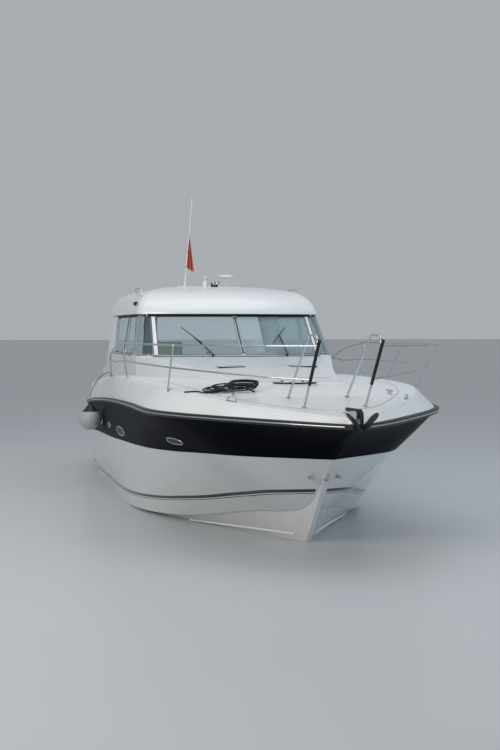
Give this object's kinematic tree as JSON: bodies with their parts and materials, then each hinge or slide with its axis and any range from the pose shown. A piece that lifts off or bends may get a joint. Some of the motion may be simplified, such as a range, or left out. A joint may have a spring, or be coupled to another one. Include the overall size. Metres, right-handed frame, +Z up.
{
  "type": "motor yacht",
  "caption": "Hardtop motor yacht afloat, with cabin, open cockpit, bow rails, opening hatches, folding swim ladder, steering gear and shaft drive.",
  "frame": {"origin": "on the centreline at the waterline, about amidships", "axes": "+X to the bow, +Y to port, +Z up"},
  "size_m": [12.33, 4.5596, 6.3682],
  "materials": {
    "hull_gelcoat": "white gelcoat with a navy band and a thin boot stripe",
    "deck_gelcoat": "white gelcoat",
    "rub_rail": "pale moulding with a bright insert",
    "window_glass": "clear glass, faintly blue",
    "roof_glass": "dark tinted glass",
    "smoked_acrylic": "dark smoked acrylic",
    "stainless": "polished stainless steel",
    "anchor_paint": "dark painted steel",
    "sole_boards": "oiled boards",
    "engine_paint": "grey paint",
    "bronze": "cast bronze",
    "dark_trim": "matt dark grey",
    "wheel_trim": "black leather",
    "pale_upholstery": "pale stitched upholstery",
    "joinery": "satin varnished veneer",
    "black_plastic": "matt black",
    "white_plastic": "white",
    "flag_cloth": "orange-red bunting",
    "side_lamp": "black housing with a coloured lens",
    "fender_vinyl": "pale grey vinyl with a navy top",
    "navy_rope": "braided navy line",
    "black_rope": "braided black rope"
  },
  "bodies": {
    "boat": {"hull": "hull_gelcoat", "deck": "deck_gelcoat", "rub_rail": "rub_rail", "window_frame": "deck_gelcoat", "windscreen": "window_glass", "side_windows": "window_glass", "hardtop": "deck_gelcoat", "bow_rail_port": "stainless", "bow_rail_starboard": "stainless", "deck_lights": "smoked_acrylic", "cleats": "stainless", "bow_roller": "stainless", "anchor": "anchor_paint", "swim_platform": "deck_gelcoat", "engines": "engine_paint", "struts": "bronze", "trim_tabs": "stainless", "helm_console": "dark_trim", "helm_seat": "deck_gelcoat", "helm_cushions": "pale_upholstery", "settee": "joinery", "settee_cushions": "pale_upholstery", "galley": "joinery", "cockpit_bench": "deck_gelcoat", "bench_cushions": "pale_upholstery", "wipers": "black_plastic", "whip_antenna": "white_plastic", "anchor_light": "white_plastic", "horn": "black_plastic", "disc_antenna": "white_plastic", "flag": "flag_cloth", "side_lights": "side_lamp", "roof_rails": "stainless", "bow_eye": "stainless", "fender": "fender_vinyl", "fender_line": "navy_rope", "rope_hank": "black_rope"},
    "foredeck_hatch": {"foredeck_hatch": "smoked_acrylic"},
    "anchor_locker_lid": {"anchor_locker_lid": "deck_gelcoat"},
    "engine_hatch": {"engine_hatch": "sole_boards"},
    "transom_gate": {"transom_gate": "deck_gelcoat"},
    "cabin_door": {"cabin_door": "smoked_acrylic"},
    "sunroof": {"sunroof": "roof_glass"},
    "swim_ladder": {"swim_ladder": "stainless"},
    "rudder_port": {"rudder_port": "bronze"},
    "rudder_starboard": {"rudder_starboard": "bronze"},
    "steering_wheel": {"steering_wheel": "wheel_trim"},
    "propeller_port": {"propeller_port": "bronze", "shaft_port": "stainless"},
    "propeller_starboard": {"propeller_starboard": "bronze", "shaft_starboard": "stainless"}
  },
  "joints": [
    {"name": "foredeck_hatch_hinge", "type": "hinge", "parent": "boat", "child": "foredeck_hatch", "pos_m": [3.556, 0, 2.148], "axis": [0, 1, 0], "range_deg": [0, 80]},
    {"name": "anchor_locker_hinge", "type": "hinge", "parent": "boat", "child": "anchor_locker_lid", "pos_m": [4.404, 0, 1.989], "axis": [0, -1, 0], "range_deg": [0, 80]},
    {"name": "engine_hatch_hinge", "type": "hinge", "parent": "boat", "child": "engine_hatch", "pos_m": [-3.404, 0, 1.164], "axis": [0, 1, 0], "range_deg": [0, 85]},
    {"name": "transom_gate_hinge", "type": "hinge", "parent": "boat", "child": "transom_gate", "pos_m": [-5.166, -1.4417, 1.4], "axis": [0, 0, -1], "range_deg": [0, 90]},
    {"name": "cabin_door_hinge", "type": "hinge", "parent": "boat", "child": "cabin_door", "pos_m": [-0.56, 0.6517, 1.8], "axis": [0, 0, -1], "range_deg": [0, 90]},
    {"name": "sunroof_slide", "type": "slide", "parent": "boat", "child": "sunroof", "axis": [-1, 0, 0], "range_m": [0, 0.85]},
    {"name": "swim_ladder_hinge", "type": "hinge", "parent": "boat", "child": "swim_ladder", "pos_m": [-6.12, 0.65, 0.442], "axis": [0, -1, 0], "range_deg": [0, 265]},
    {"name": "rudder_port_turn", "type": "hinge", "parent": "boat", "child": "rudder_port", "pos_m": [-5.06, 0.7, -0.8], "axis": [0, 0, 1], "range_deg": [-35, 35]},
    {"name": "rudder_starboard_turn", "type": "hinge", "parent": "boat", "child": "rudder_starboard", "pos_m": [-5.06, -0.7, -0.8], "axis": [0, 0, 1], "range_deg": [-35, 35]},
    {"name": "steering_wheel_turn", "type": "hinge", "parent": "boat", "child": "steering_wheel", "pos_m": [-1.15, -0.82, 2.17], "axis": [-0.848, 0, 0.5299], "range_deg": [-540, 540]},
    {"name": "propeller_port_spin", "type": "hinge", "parent": "boat", "child": "propeller_port", "pos_m": [-4.75, 0.7, -0.85], "axis": [0.9848, 0, 0.1736], "continuous": true},
    {"name": "propeller_starboard_spin", "type": "hinge", "parent": "boat", "child": "propeller_starboard", "pos_m": [-4.75, -0.7, -0.85], "axis": [0.9848, 0, 0.1736], "continuous": true}
  ],
  "couplings": [
    {"joint": "rudder_starboard_turn", "follows": "rudder_port_turn", "ratio": 1},
    {"joint": "steering_wheel_turn", "follows": "rudder_port_turn", "ratio": 15.429}
  ]
}
